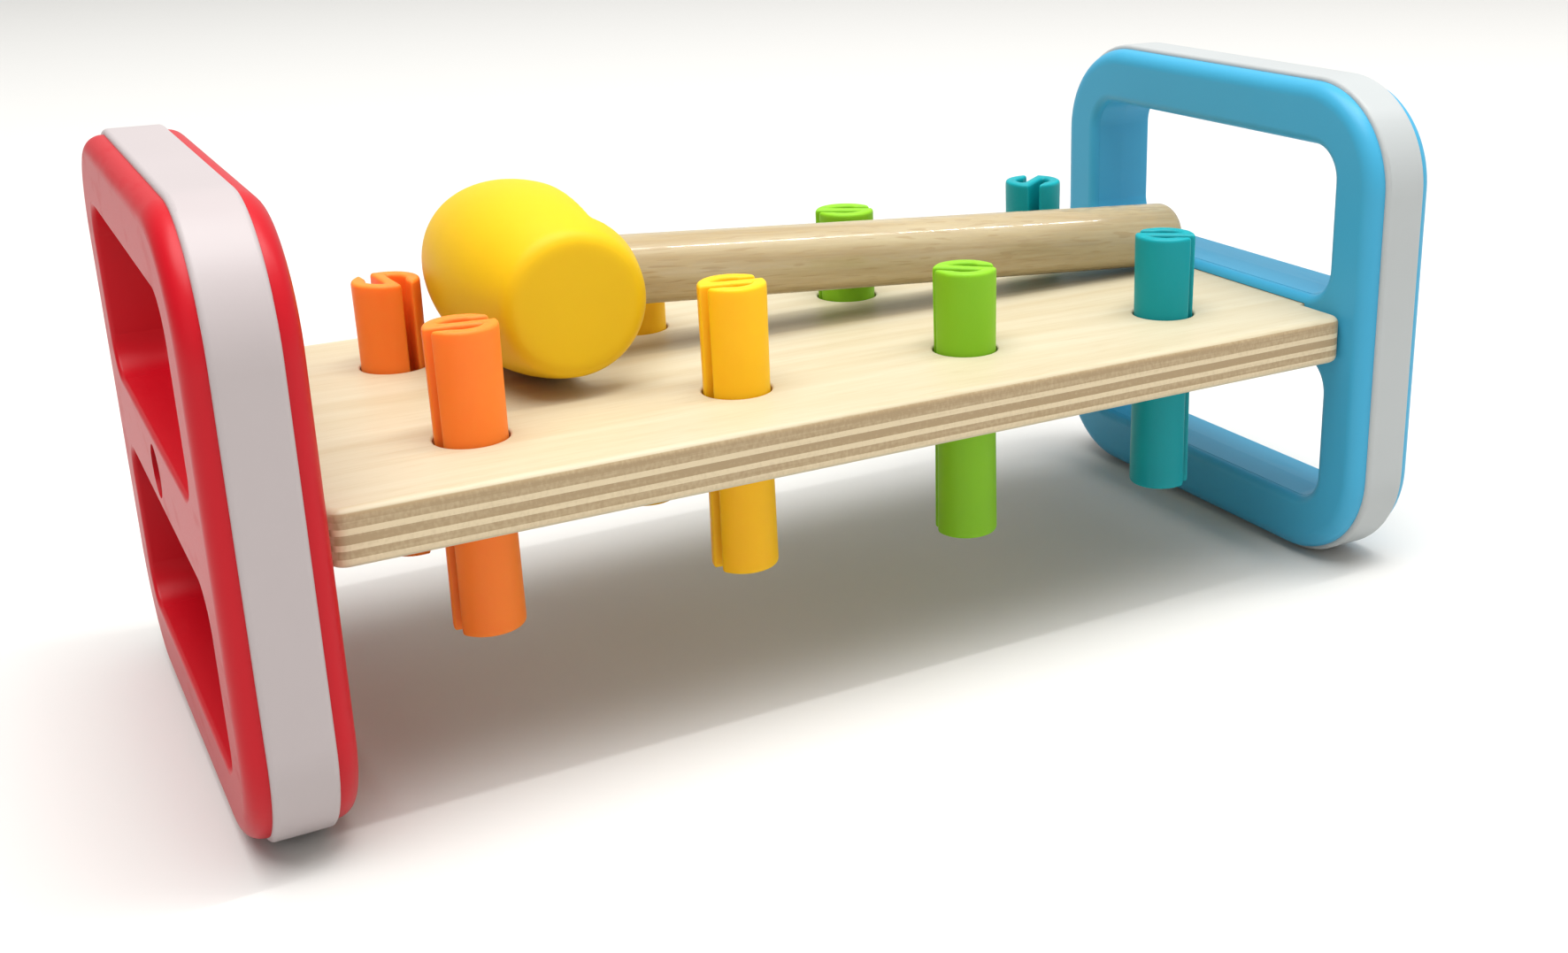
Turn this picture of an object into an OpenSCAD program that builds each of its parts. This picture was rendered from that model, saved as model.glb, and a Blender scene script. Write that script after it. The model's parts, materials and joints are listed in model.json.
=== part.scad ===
// Peg pounding bench: a plywood plank held at mid height between two moulded end frames.
// Springy S-section pegs slide through the plank from either side, so the bench works both ways up.
// A mallet with a barrel head lies on the plank between the two rows of pegs.
// X runs along the plank from the red frame to the blue one, Y runs to the back and Z up.
// The origin is on the ground, below the middle of the plank.

/* [Plank] */
// Length of the plank between the two end frames
plank_l = 252; // [238:1:300]
// Width of the plank, front to back
plank_w = 119; // [108:1:124]
// Thickness of the plywood
plank_t = 12; // [9:0.5:13]
// Corner radius of the plank, seen from above
plank_corner_r = 4; // [2:0.5:8]
// Rounding of the plank's edges
plank_edge_r = 1.8; // [0.5:0.1:2]
// Width of the tenon at each end of the plank
tenon_w = 88; // [60:1:96]
// Length of the tenon at each end of the plank
tenon_l = 8; // [4:0.5:8.5]

/* [Pegs and their holes] */
// Spacing of the holes along the plank
hole_pitch_x = 60; // [58:1:66]
// Spacing of the two rows of holes
hole_pitch_y = 61; // [56:1:72]
// Diameter of a peg
peg_d = 15; // [13:0.1:16]
// Length of a peg, a little less than the height of the plank's top
peg_l = 67; // [58:1:68]
// Clearance between a peg and its hole, on each side
peg_clear = 0.35; // [0.3:0.05:0.6]
// Rounding of the mouth of each hole
hole_mouth_r = 0.7; // [0.4:0.1:1.2]
// Thickness of a peg's curved outer walls
peg_wall = 3.1; // [2.4:0.1:3.6]
// Thickness of the straight wall across the middle of a peg
peg_web = 2.6; // [2:0.1:3.2]
// Rounding of a peg's two ends
peg_end_r = 1.2; // [0.6:0.1:1.8]
// Rounding of the lips of a peg's two mouths
peg_lip_r = 0.6; // [0.3:0.1:0.8]

/* [End frames] */
// Width of an end frame, front to back
frame_w = 135; // [130:1:150]
// Height of an end frame
frame_h = 129; // [125:1:150]
// Thickness of an end frame
frame_t = 21; // [20:0.5:24]
// Outer corner radius of an end frame
frame_corner_r = 27; // [20:1:32]
// Width of the upright bars of an end frame
side_bar_w = 16; // [13:0.5:19]
// Height of the top and bottom bars of an end frame
top_bar_h = 17; // [13:0.5:20]
// How far the crossbar stands above and below the plank
crossbar_lip = 2.8; // [2:0.1:5]
// Corner radius of the windows
window_corner_r = 8; // [4:0.5:12]
// Rounding of the windows' edges towards the plank
window_edge_r = 2.4; // [1:0.1:3]
// Rounding of the windows' edges on the outer face
window_face_r = 1; // [0.5:0.1:3]
// Draft of a window's wall from the parting plane to the face
window_draft = 0.4; // [0.1:0.1:1]

/* [Rims] */
// Width of the pale rim between the two shells of a frame
rim_w = 12.4; // [9:0.1:14]
// Depth of the rim, measured inwards from its outer face
rim_depth = 6; // [4:0.5:8]
// How far the rim stands proud of the shells
rim_proud = 1.2; // [0.5:0.1:2]
// Rounding of the rim's two outer edges
rim_edge_r = 1.1; // [0.5:0.1:2]

/* [Screws] */
// Diameter of the screw's shank
screw_d = 4; // [3:0.1:5]
// Length of the screw under its head
screw_l = 40; // [30:1:60]
// Diameter of the screw's head
screw_head_d = 8.4; // [7:0.1:10]
// Height of the screw's head
screw_head_h = 3; // [2:0.1:4]
// Diameter of the recess round the screw's head
recess_d = 11.5; // [10.5:0.1:13]
// Depth of the recess round the screw's head
recess_l = 7; // [5:0.5:8]

/* [Mallet] */
// Largest diameter of the barrel head
head_d = 42.6; // [36:0.1:44]
// Length of the barrel head
head_l = 64.5; // [50:0.5:72]
// How much smaller the barrel's radius would be at its two ends
head_taper = 5.6; // [3:0.1:7]
// Rounding of the edge of each striking face
face_edge_r = 4; // [2:0.1:6]
// Diameter of the handle in the head
handle_d = 16.8; // [13:0.1:18]
// Diameter of the handle at its free end
handle_end_d = 17.6; // [13:0.1:18.5]
// Rounding of the handle's free end
handle_end_r = 3.6; // [1:0.1:6]
// Length of the full round left at each striking face, beside the flat seat of the handle
seat_rim = 10; // [7:0.5:14]
// Depth of the flat seat below the top of the barrel
seat_depth = 14.5; // [4:0.5:15]
// How far the handle goes past the middle of the head
socket_past = 9; // [4:0.5:13]
// Gap between the barrel head and the nearest peg
stow_gap = 1.2; // [0.8:0.1:2]
// Gap between the handle's free end and the blue frame
handle_gap = 2.4; // [1:0.1:8]
// How far behind the middle of the plank the handle lies
handle_back = 10.8; // [6:0.1:11]

/* [Hidden] */
// Every sub-part by name
$fn = 72;

// How far a cut runs past the face that it opens
overrun = 1;
// Clearance between pieces that are fixed together
fixed_clear = 0.1;
// Clearance round a tenon in its pocket
tenon_clear = 0.2;
// Air between the resting mallet and the plank
rest_gap = 0.3;

// Colours
plywood_colour = [0.90, 0.80, 0.60];
red_colour = [0.78, 0.07, 0.12];
blue_colour = [0.30, 0.66, 0.85];
rim_colour = [0.93, 0.93, 0.92];
orange_colour = [0.98, 0.46, 0.12];
yellow_colour = [1.00, 0.74, 0.07];
green_colour = [0.55, 0.77, 0.13];
teal_colour = [0.03, 0.60, 0.63];
head_colour = [1.00, 0.85, 0.10];
handle_colour = [0.80, 0.66, 0.46];
steel_colour = [0.72, 0.72, 0.74];

// Levels of the plank
plank_mid_z = frame_h / 2;
plank_top_z = plank_mid_z + plank_t / 2;

// Peg section
peg_r = peg_d / 2;
hole_d = peg_d + 2 * peg_clear;
pocket_r = peg_r - peg_wall;
mouth_share = 0.75;
mouth_w = mouth_share * (pocket_r - peg_web / 2);

// Height that each peg stands above the plank, as shares of its length, from the red end to the blue
front_stand_shares = [0.363, 0.369, 0.30, 0.31];
rear_stand_shares = [0.31, 0.315, 0.349, 0.37];
// Turn of each peg about its own axis, and whether its other end is up
front_turns = [-8, -11, -42, -35];
rear_turns = [-86, -20, -32, 38];
front_flips = [0, 0, 0, 180];
rear_flips = [0, 0, 0, 0];
peg_columns = len(front_stand_shares);

// Frame shells
half_t = frame_t / 2;
shell_side = (frame_t - rim_w) / 2;
edge_share = 0.94;
shell_edge_r = edge_share * shell_side;
shell_size = [frame_w - 2 * rim_proud, frame_h - 2 * rim_proud];
shell_corner_r = frame_corner_r - rim_proud;
core_size = [frame_w - 2 * rim_depth, frame_h - 2 * rim_depth];
core_corner_r = frame_corner_r - rim_depth;
rim_bore_size = core_size + 2 * [fixed_clear, fixed_clear];
rim_bore_corner_r = core_corner_r + fixed_clear;
crossbar_h = plank_t + 2 * crossbar_lip;
window_size = [frame_w - 2 * side_bar_w, (frame_h - crossbar_h) / 2 - top_bar_h];
window_mid = crossbar_h / 2 + window_size[1] / 2;

// Screw seat, measured from the frame's inner face
screw_seat = frame_t - recess_l;
screw_slot_share = 0.2;
screw_slot_depth_share = 0.6;

// Barrel head: an arc through the middle and the two ends, then a round edge at each face
head_r = head_d / 2;
half_head_l = head_l / 2;
barrel_r = (head_taper * head_taper + half_head_l * half_head_l) / (2 * head_taper);
barrel_centre = head_r - barrel_r;
barrel_fn = 6 * $fn;
edge_centre_y = half_head_l - face_edge_r;
edge_centre_x = barrel_centre + sqrt(pow(barrel_r - face_edge_r, 2) - pow(edge_centre_y, 2));
edge_tangent_y = edge_centre_y * barrel_r / (barrel_r - face_edge_r);
seat_x = head_r - seat_depth;
seat_w = head_l - 2 * seat_rim;

// Place of the mallet: beside the rear peg of the first column, with the handle's end on the plank
row_offset = hole_pitch_y / 2 - handle_back;
head_r_at_row = barrel_centre + sqrt(pow(barrel_r, 2) - pow(row_offset, 2));
first_column_x = -(peg_columns - 1) / 2 * hole_pitch_x;
mallet_x = first_column_x + peg_r + stow_gap + head_r_at_row;
handle_l = plank_l / 2 - handle_gap - mallet_x;
handle_end_reach = handle_l - handle_end_r;
handle_end_axis = norm([handle_end_reach, handle_end_d / 2]);
mallet_tilt = asin(head_r / handle_end_axis) - atan2(handle_end_d / 2, handle_end_reach);

// Quarter disc in the lower right corner, or in the upper right one
module corner_round(r, side) {
    intersection() {
        circle(r);
        translate([0, side * r / 2 - r / 2])
            square(r);
    }
}

// Half of a plate's edge: a square with its outer corners rounded at the bottom and, if asked, the top
module edge_profile(width, height, bottom_r, top_r) {
    square([width - max(bottom_r, top_r), height]);
    translate([0, bottom_r])
        square([width, height - bottom_r - top_r]);
    translate([width - bottom_r, bottom_r])
        corner_round(bottom_r, -1);
    if (top_r > 0)
        translate([width - top_r, height - top_r])
            corner_round(top_r, 1);
}

// Concave flare that rounds over the mouth of a cut of radius r, on the face at height 0
module mouth_flare(r, flare_r) {
    translate([r, 0])
        difference() {
            translate([-flare_r, -overrun])
                square([2 * flare_r, flare_r + overrun]);
            translate([flare_r, flare_r])
                circle(flare_r);
        }
}

// Straight run of a plate: the child edge profile on both sides of a flat middle
module plate_run(half, length, z_from, z_to) {
    rotate([90, 0, 0])
        linear_extrude(length, center = true) {
            for (side = [0, 1])
                mirror([side, 0])
                    translate([half, 0])
                        children();
            translate([-half, z_from])
                square([2 * half, z_to - z_from]);
        }
}

// Flat plate with round corners whose edge has the child profile, drawn outwards from the corner's centre
module plate(size, corner_r, z_from, z_to) {
    inner = [size[0] - 2 * corner_r, size[1] - 2 * corner_r];
    for (x = [-1, 1], y = [-1, 1])
        translate([x * inner[0] / 2, y * inner[1] / 2, 0])
            rotate_extrude()
                children();
    plate_run(inner[0] / 2, inner[1], z_from, z_to)
        children();
    rotate(90)
        plate_run(inner[1] / 2, inner[0], z_from, z_to)
            children();
}

// Place of one hole, by column and row
function hole_place(column, row) = [
    first_column_x + column * hole_pitch_x,
    (row - 1 / 2) * hole_pitch_y,
    0
];

module peg_hole() {
    translate([0, 0, -overrun])
        cylinder(d = hole_d, h = plank_t + 2 * overrun);
    for (side = [0, 1])
        translate([0, 0, plank_t / 2])
            mirror([0, 0, side])
                translate([0, 0, -plank_t / 2])
                    rotate_extrude()
                        mouth_flare(hole_d / 2, hole_mouth_r);
}

module plank() {
    color(plywood_colour)
        translate([0, 0, plank_mid_z - plank_t / 2])
            difference() {
                union() {
                    plate([plank_l, plank_w], plank_corner_r, 0, plank_t)
                        edge_profile(plank_corner_r, plank_t, plank_edge_r, plank_edge_r);
                    translate([-plank_l / 2 - tenon_l, -tenon_w / 2, 0])
                        cube([plank_l + 2 * tenon_l, tenon_w, plank_t]);
                }
                for (column = [0 : peg_columns - 1], row = [0, 1])
                    translate(hole_place(column, row))
                        peg_hole();
                for (side = [0, 180])
                    rotate(side)
                        translate([plank_l / 2 + screw_seat - screw_l, 0, plank_t / 2])
                            rotate([0, 90, 0])
                                cylinder(d = screw_d + 2 * fixed_clear, h = screw_l);
            }
}

// Centre of the rounding between a mouth's straight wall at height y and the peg's outer face
function lip_centre(y, side) =
    let (centre_y = y + side * peg_lip_r)
    [-sqrt(pow(peg_r - peg_lip_r, 2) - pow(centre_y, 2)), centre_y];

// What the rounding takes off the lip
module lip_flare(y, side) {
    centre = lip_centre(y, side);
    outer = centre * (peg_r + overrun) / (peg_r - peg_lip_r);
    difference() {
        polygon([centre, [centre[0], y - side * overrun], [outer[0], y - side * overrun], outer]);
        translate(centre)
            circle(peg_lip_r);
    }
}

// Half-moon hollow on one side of the middle wall, with its mouth at one end
module peg_pocket() {
    intersection() {
        circle(pocket_r);
        translate([-peg_r, -peg_r])
            square([peg_d, peg_r - peg_web / 2]);
    }
    translate([-peg_r - overrun, -peg_web / 2 - mouth_w])
        square([peg_r + overrun, mouth_w]);
    lip_flare(-peg_web / 2, 1);
    lip_flare(-peg_web / 2 - mouth_w, -1);
}

module peg_body() {
    difference() {
        rotate_extrude()
            edge_profile(peg_r, peg_l, peg_end_r, peg_end_r);
        translate([0, 0, -overrun])
            linear_extrude(peg_l + 2 * overrun)
                for (side = [0, 180])
                    rotate(side)
                        peg_pocket();
    }
}

module peg(column, row, colour) {
    share = [front_stand_shares, rear_stand_shares][row][column];
    turn = [front_turns, rear_turns][row][column];
    flip = [front_flips, rear_flips][row][column];
    color(colour)
        translate(hole_place(column, row))
            translate([0, 0, plank_top_z + share * peg_l - peg_l / 2])
                rotate([flip, 0, turn])
                    translate([0, 0, -peg_l / 2])
                        peg_body();
}

// Window through one shell: straight at the parting plane, drafted and rounded towards the face
module window_edge(edge_r) {
    polygon([
        [0, -overrun],
        [window_corner_r + window_draft, -overrun],
        [window_corner_r + window_draft, 0],
        [window_corner_r, half_t],
        [window_corner_r, half_t + overrun],
        [0, half_t + overrun]
    ]);
    mouth_flare(window_corner_r + window_draft, edge_r);
}

// One shell of a frame, face down, with the parting plane on top
module half_shell(edge_r) {
    difference() {
        union() {
            plate(shell_size, shell_corner_r, 0, shell_side)
                edge_profile(shell_corner_r, shell_side, shell_edge_r, 0);
            plate(core_size, core_corner_r, shell_side / 2, half_t)
                translate([0, shell_side / 2])
                    square([core_corner_r, half_t - shell_side / 2]);
        }
        for (side = [-1, 1])
            translate([0, side * window_mid, 0])
                plate(window_size, window_corner_r, -overrun, half_t + overrun)
                    window_edge(edge_r);
    }
}

module screw_passage(length) {
    cylinder(d = screw_d + 2 * fixed_clear, h = length);
}

module inner_shell() {
    pocket = [tenon_w + 2 * tenon_clear, plank_t + 2 * tenon_clear, tenon_l + tenon_clear + overrun];
    difference() {
        half_shell(window_edge_r);
        translate([-pocket[0] / 2, -pocket[1] / 2, -overrun])
            cube(pocket);
        screw_passage(frame_t);
    }
}

module outer_shell() {
    translate([0, 0, frame_t])
        rotate([0, 180, 0])
            difference() {
                half_shell(window_face_r);
                translate([0, 0, -overrun])
                    cylinder(d = recess_d, h = recess_l + overrun);
                screw_passage(frame_t);
            }
}

module rim() {
    translate([0, 0, shell_side])
        difference() {
            plate([frame_w, frame_h], frame_corner_r, 0, rim_w)
                edge_profile(frame_corner_r, rim_w, rim_edge_r, rim_edge_r);
            plate(rim_bore_size, rim_bore_corner_r, -overrun, rim_w + overrun)
                translate([0, -overrun])
                    square([rim_bore_corner_r, rim_w + 2 * overrun]);
        }
}

module screw() {
    slot_w = screw_slot_share * screw_head_d;
    slot_l = screw_slot_depth_share * screw_head_d;
    slot_depth = screw_slot_depth_share * screw_head_h;
    difference() {
        translate([0, 0, screw_seat])
            cylinder(d = screw_head_d, h = screw_head_h);
        for (turn = [0, 90])
            rotate(turn)
                translate([-slot_l / 2, -slot_w / 2, screw_seat + screw_head_h - slot_depth])
                    cube([slot_l, slot_w, slot_depth + overrun]);
    }
    translate([0, 0, screw_seat - screw_l])
        cylinder(d = screw_d, h = screw_l);
}

// Turns a frame's piece upright and puts it at the blue end, or at the red end with a half turn
module at_end(half_turn) {
    rotate(half_turn)
        translate([plank_l / 2, 0, frame_h / 2])
            rotate([90, 0, 90])
                children();
}

module head_profile() {
    translate([0, -half_head_l])
        square([edge_centre_x, head_l]);
    for (side = [-1, 1])
        translate([edge_centre_x, side * edge_centre_y])
            circle(face_edge_r);
    intersection() {
        translate([barrel_centre, 0])
            circle(barrel_r, $fn = barrel_fn);
        translate([0, -edge_tangent_y])
            square([head_d, 2 * edge_tangent_y]);
    }
}

// Stands the mallet on the plank: the head's axis lies front to back and the handle slopes down
module on_plank() {
    translate([mallet_x, handle_back, plank_top_z + rest_gap + head_r])
        rotate([0, mallet_tilt, 0])
            children();
}

module mallet_head() {
    color(head_colour)
        on_plank()
            difference() {
                rotate([90, 0, 0])
                    rotate_extrude()
                        head_profile();
                translate([seat_x, -seat_w / 2, -head_r])
                    cube([seat_depth + overrun, seat_w, head_d]);
                translate([-socket_past, 0, 0])
                    rotate([0, 90, 0])
                        cylinder(d = handle_d + 2 * fixed_clear, h = socket_past + head_r + overrun);
            }
}

module mallet_handle() {
    color(handle_colour)
        on_plank()
            rotate([0, 90, 0])
                rotate_extrude() {
                    polygon([
                        [0, -socket_past],
                        [handle_d / 2, -socket_past],
                        [handle_d / 2, head_r],
                        [handle_end_d / 2, handle_end_reach],
                        [0, handle_end_reach]
                    ]);
                    square([handle_end_d / 2 - handle_end_r, handle_l]);
                    translate([handle_end_d / 2 - handle_end_r, handle_end_reach])
                        corner_round(handle_end_r, 1);
                }
}

plank();

at_end(180) color(red_colour) outer_shell();  // red_outer_shell
at_end(180) color(red_colour) inner_shell();  // red_inner_shell
at_end(180) color(rim_colour) rim();  // red_rim
at_end(180) color(steel_colour) screw();  // red_screw

at_end(0) color(blue_colour) outer_shell();  // blue_outer_shell
at_end(0) color(blue_colour) inner_shell();  // blue_inner_shell
at_end(0) color(rim_colour) rim();  // blue_rim
at_end(0) color(steel_colour) screw();  // blue_screw

peg(0, 0, orange_colour);  // orange_peg_front
peg(1, 0, yellow_colour);  // yellow_peg_front
peg(2, 0, green_colour);  // green_peg_front
peg(3, 0, teal_colour);  // teal_peg_front
peg(0, 1, orange_colour);  // orange_peg_rear
peg(1, 1, yellow_colour);  // yellow_peg_rear
peg(2, 1, green_colour);  // green_peg_rear
peg(3, 1, teal_colour);  // teal_peg_rear

mallet_head();
mallet_handle();
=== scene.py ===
"""Finishes a toy pounding bench: plank, end frames, springy pegs, screws, mallet and a small stage."""
import json
from math import asin, cos, pi, radians, sin, sqrt

import bmesh
import bpy
from bpy.props import FloatProperty, FloatVectorProperty, IntProperty, PointerProperty
from bpy.types import NodeSocket, Operator, Panel, PropertyGroup
from mathutils import Matrix, Vector

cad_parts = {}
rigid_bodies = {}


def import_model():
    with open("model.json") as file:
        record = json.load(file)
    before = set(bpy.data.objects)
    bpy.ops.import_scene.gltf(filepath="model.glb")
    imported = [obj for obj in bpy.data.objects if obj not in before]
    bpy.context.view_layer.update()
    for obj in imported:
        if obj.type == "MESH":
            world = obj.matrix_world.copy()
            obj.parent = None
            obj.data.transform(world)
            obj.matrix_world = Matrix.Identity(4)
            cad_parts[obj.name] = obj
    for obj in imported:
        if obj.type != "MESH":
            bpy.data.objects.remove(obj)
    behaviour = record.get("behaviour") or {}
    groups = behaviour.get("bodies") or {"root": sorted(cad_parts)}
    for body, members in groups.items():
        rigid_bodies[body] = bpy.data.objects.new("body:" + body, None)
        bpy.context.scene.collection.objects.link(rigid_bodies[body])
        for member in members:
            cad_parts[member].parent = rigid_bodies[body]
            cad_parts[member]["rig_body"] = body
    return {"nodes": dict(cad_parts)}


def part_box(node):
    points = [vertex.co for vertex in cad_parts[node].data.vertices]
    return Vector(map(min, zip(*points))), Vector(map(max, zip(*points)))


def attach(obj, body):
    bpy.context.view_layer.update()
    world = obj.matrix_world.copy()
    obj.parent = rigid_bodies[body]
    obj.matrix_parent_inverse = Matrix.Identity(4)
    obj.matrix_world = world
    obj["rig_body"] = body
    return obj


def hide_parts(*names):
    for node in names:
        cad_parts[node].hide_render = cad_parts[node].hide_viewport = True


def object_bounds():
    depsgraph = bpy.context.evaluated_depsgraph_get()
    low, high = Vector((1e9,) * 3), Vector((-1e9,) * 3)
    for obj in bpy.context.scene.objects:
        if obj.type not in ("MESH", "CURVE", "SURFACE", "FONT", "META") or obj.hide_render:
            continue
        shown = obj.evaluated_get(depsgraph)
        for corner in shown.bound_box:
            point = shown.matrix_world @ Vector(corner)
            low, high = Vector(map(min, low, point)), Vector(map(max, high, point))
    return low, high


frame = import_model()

bl_info = {
    "name": "Peg Pounding Bench",
    "version": (1, 0, 0),
    "blender": (4, 5, 0),
    "location": "View3D > Sidebar > Pounding Bench",
    "description": "Finishes a toy pounding bench with its plank, end frames, springy pegs and mallet",
    "category": "Object",
}

# The bench as it was built, before anything is dressed
CAD_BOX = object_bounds()
MM = 0.001

# Each peg's node, its turn about its own axis and its tip over, in degrees
PEGS = (
    ("orange_peg_front", -8, 0),
    ("yellow_peg_front", -11, 0),
    ("green_peg_front", -42, 0),
    ("teal_peg_front", -35, 180),
    ("orange_peg_rear", -86, 0),
    ("yellow_peg_rear", -20, 0),
    ("green_peg_rear", -32, 0),
    ("teal_peg_rear", 38, 0),
)

# Plies of the plank from its top face down: where each one ends, as a share of the thickness,
# and how far its fibres run across the plank instead of along it
PLY_SHARES = (
    (0.07, 0.0),
    (0.20, 0.95),
    (0.215, 1.0),
    (0.33, 0.85),
    (0.435, 0.0),
    (0.59, 1.0),
    (0.695, 0.05),
    (0.83, 0.9),
    (0.93, 0.1),
    (1.0, 0.0),
)

# Finishes of the moulded plastics: roughness, grain in waves per metre, strength of that grain,
# drift of tone, rub marks, and how much light passes through
RIM_SKIN = {"roughness": 0.38, "grain": 2200.0, "relief": 0.1, "drift": 0.12}
SHELL_SKIN = {"roughness": 0.38, "grain": 2600.0, "relief": 0.01, "drift": 0.1, "rub": 0.05}
PEG_SKIN = {"roughness": 0.5, "grain": 2600.0, "relief": 0.25, "glow": 0.6}
HEAD_SKIN = {"roughness": 0.52, "grain": 2400.0, "relief": 0.25, "glow": 0.4}
GRAIN_DEPTH = 0.05 * MM
TURNED_GRAIN_DEPTH = 0.06 * MM
GLOW_DEPTH = 3 * MM

# How far the wood's figure wanders sideways, and how far the plies wander up and down
FIGURE_SWAY = 20 * MM
PLY_SWAY = 0.5 * MM

# Patterns of the finishes, in waves per metre along X, Y and Z
BEND_WAVES = (5, 14, 14)
FIGURE_WAVES = (7, 170, 170)
FIBRE_WAVES = (60, 1700, 1700)
FLECK_WAVES = (130, 1500, 1500)
CLOUD_WAVES = 38.0
RUB_WAVES = (320, 60, 140)
PLY_WAVES = (22, 22, 40)
STREAK_WAVES = (40, 40, 1500)
PORE_WAVES = (1500, 1500, 900)
VARNISH_WAVES = (260, 900, 900)
TURNING_WAVES = (2600, 420, 420)

# Each light's name, setting, width, height, place and target, in metres
LIGHTS = (
    ("overhead_soft_box", "key_power", 2.4, 2.4, (-0.3, -0.25, 2.8), (0, 0, 0.06)),
    ("tube_light", "tube_power", 2.2, 0.06, (1.4, -0.4, 2.4), (1.4, 0, 0.06)),
    ("front_soft_box", "fill_power", 0.8, 0.8, (-0.9, -0.9, 0.55), (0, 0, 0.06)),
)

# Colour of the surroundings, and the directions along X between which they brighten
SKY_COLOUR = (1.0, 0.995, 0.98, 1.0)
SKY_TURN = (-0.6, 0.2)

# Points closer than this are one point, and bends sharper than these are softened or kept sharp
SAME_POINT = 0.01 * MM
SOFTENED_BEND = radians(40)
SHARP_BEND = radians(35)

# Gap between the bench's feet and the floor
FLOOR_GAP = 0.1 * MM

# Size of the picture that the camera is set for, in pixels, the width of the camera's sensor,
# in millimetres, and how close it sees, in metres
PICTURE = (1772, 1077)
SENSOR = 36.0
NEAREST_SEEN = 0.01


def linear(red, green, blue):
    """A colour as seen on a screen, 0 to 255, as the linear values that shaders take."""
    shares = [value / 255 for value in (red, green, blue)]
    return tuple(v / 12.92 if v <= 0.04045 else ((v + 0.055) / 1.055) ** 2.4 for v in shares)


def colour(name, description, *screen_colour):
    return FloatVectorProperty(
        name=name,
        description=description,
        default=linear(*screen_colour),
        subtype="COLOR",
        size=3,
        min=0.0,
        max=1.0,
    )


def length(name, description, default):
    return FloatProperty(
        name=name,
        description=description,
        default=default,
        subtype="DISTANCE",
        unit="LENGTH",
    )


def angle(name, description, degrees):
    return FloatProperty(
        name=name,
        description=description,
        default=radians(degrees),
        subtype="ANGLE",
        unit="ROTATION",
    )


def share(name, description, default):
    return FloatProperty(
        name=name,
        description=description,
        default=default,
        subtype="FACTOR",
        min=0.0,
        max=1.0,
    )


def count(name, description, default, least):
    return IntProperty(name=name, description=description, default=default, min=least)


def power(name, description, default):
    return FloatProperty(name=name, description=description, default=default, unit="POWER")


class PegSettings(PropertyGroup):
    """Sizes and colours of the springy pegs"""

    diameter: length("Diameter", "Outer diameter of a peg", 15 * MM)
    wall: length("Outer wall", "Thickness of the curved outer walls", 3.1 * MM)
    web: length("Middle wall", "Thickness of the straight wall across the middle", 2.6 * MM)
    mouth: share("Mouth", "Share of the hollow's depth that each mouth leaves open", 0.75)
    lip_round: length("Lip rounding", "How far the rounding of the mouths' lips reaches", 0.55 * MM)
    end_round: length("End rounding", "How far the rounding of both ends reaches", 0.85 * MM)
    end_band: length("End band", "Height of the band of faces that holds each rounded end", 2.5 * MM)
    splay: share("Splay", "Share by which a peg is wider at its ends than at mid height", 0.04)
    sweep: angle("Wall sweep", "Turn of the outer wall before its mouth is cut", 144)
    sweep_steps: count("Wall steps", "Faces along one outer wall", 9, 3)
    smooth_levels: count("Smoothing", "Levels of subdivision", 2, 0)
    orange: colour("Orange", "Colour of the orange pegs", 252, 132, 44)
    yellow: colour("Yellow", "Colour of the yellow pegs", 250, 191, 18)
    green: colour("Green", "Colour of the green pegs", 132, 190, 30)
    teal: colour("Teal", "Colour of the teal pegs", 0, 152, 160)


class ScrewSettings(PropertyGroup):
    """Sizes of the two wood screws"""

    head_height: length("Head height", "Height of the head", 3 * MM)
    straight: share("Straight side", "Share of the head's height below its dome", 0.3)
    flat: share("Flat top", "Share of the head's width that is flat on top", 0.5)
    dome_steps: count("Dome steps", "Rings of faces on the dome", 6, 2)
    sides: count("Sides", "Faces round the screw", 48, 12)
    shank: length("Shank", "Diameter of the shank", 4 * MM)
    tip: length("Tip", "Diameter of the blunt tip", 1 * MM)
    point: length("Point", "Length of the tapered point", 7 * MM)
    slot_width: length("Slot width", "Width of the cross slots", 1.3 * MM)
    slot_length: length("Slot length", "Length of the cross slots", 5 * MM)
    slot_depth: length("Slot depth", "Depth of the cross slots", 1.7 * MM)
    soft_edge: length("Soft edge", "Width of the softened edges", 0.12 * MM)


class MalletSettings(PropertyGroup):
    """Sizes of the mallet's head"""

    diameter: length("Diameter", "Largest diameter of the barrel", 42.6 * MM)
    barrel_length: length("Length", "Length of the barrel", 64.5 * MM)
    taper: length("Taper", "How much the radius falls towards each end", 5.6 * MM)
    edge_round: length("Edge rounding", "Radius round both end faces", 4 * MM)
    seat_rim: length("Seat rim", "Length left full at each end, beside the flat seat", 10 * MM)
    seat_depth: length("Seat depth", "Depth of the flat seat for the handle", 14.5 * MM)
    socket: length("Socket", "Diameter of the handle's socket", 17 * MM)
    socket_past: length("Socket depth", "How far the socket passes the barrel's axis", 9 * MM)
    tilt: angle("Tilt", "Slope of the handle", 3.944)
    steps: count("Steps", "Rings of faces from the middle to an end", 24, 4)
    edge_steps: count("Edge steps", "Rings of faces on each rounding", 8, 2)
    sides: count("Sides", "Faces round the barrel", 160, 24)
    grid: length("Grid", "Width of the faces of the finished head", 0.5 * MM)
    passes: count("Smoothing", "Rounds of smoothing that soften the edges", 8, 0)


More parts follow.
